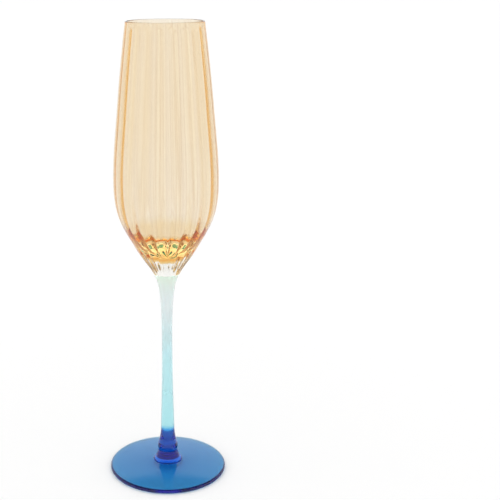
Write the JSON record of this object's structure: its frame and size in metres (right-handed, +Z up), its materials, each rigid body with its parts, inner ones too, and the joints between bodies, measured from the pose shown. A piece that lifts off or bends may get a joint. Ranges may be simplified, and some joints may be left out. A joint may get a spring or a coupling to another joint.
{
  "type": "champagne flute",
  "caption": "Tall flute with a thin ribbed amber cup on a clear button, a slim opal stem, and a blue foot with a cone-shaped hub and a collar.",
  "frame": {"origin": "centre of the ring on which the foot rests", "axes": "+Z up along the axis of the glass, +X and +Y any two square directions across the foot"},
  "size_m": [0.072, 0.072, 0.275],
  "materials": {
    "amber_glass": "clear gloss, optic ribbed",
    "pale_glass": "clear gloss",
    "opal_glass": "gloss, milky white at the top and aqua at the bottom",
    "blue_glass": "clear gloss"
  },
  "bodies": {
    "root": {"bowl": "amber_glass", "button": "pale_glass", "stem": "opal_glass", "hub": "blue_glass", "collar": "blue_glass", "foot": "blue_glass"}
  },
  "joints": []
}
